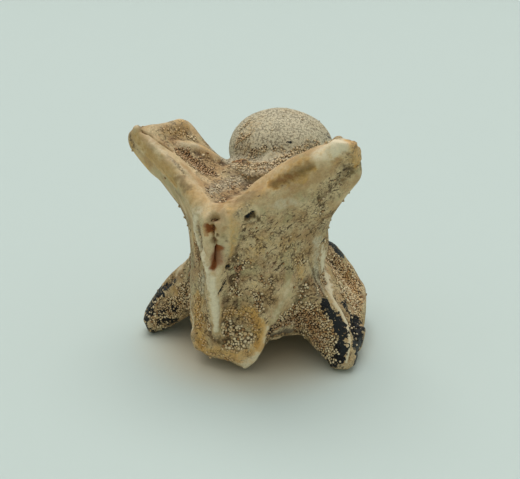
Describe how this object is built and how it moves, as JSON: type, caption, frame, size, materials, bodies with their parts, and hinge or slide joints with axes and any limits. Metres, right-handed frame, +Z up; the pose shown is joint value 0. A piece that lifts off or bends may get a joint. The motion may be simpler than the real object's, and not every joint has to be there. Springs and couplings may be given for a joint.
{
  "type": "sea snake vertebra",
  "caption": "Fossil trunk vertebra of a sea snake, standing on its front end: cup below, ball and two wings on top, broken spine ridge in front.",
  "frame": {"origin": "centre of the object's box, on the surface that it stands on", "axes": "+Z up, towards the tail end of the vertebra; -Y the side of the back, with the broken neural spine; +X the animal's left"},
  "size_m": [0.022, 0.0222, 0.0214],
  "materials": {
    "bone": "matte tan fossil bone with fine dark pits and clinging grains",
    "pale_bone": "smooth worn cream bone, faintly satin",
    "ochre_bone": "matte bone stained ochre yellow",
    "grainy_bone": "bone crusted with brown grains, with glossy black patches"
  },
  "bodies": {
    "root": {"centrum": "bone", "condyle": "bone", "hypapophysis": "bone", "neural_arch": "bone", "neural_spine": "pale_bone", "zygosphene": "ochre_bone", "postzygapophysis_left": "bone", "postzygapophysis_right": "bone", "prezygapophysis_left": "grainy_bone", "prezygapophysis_right": "grainy_bone", "synapophysis_left": "grainy_bone", "synapophysis_right": "grainy_bone"}
  },
  "joints": []
}
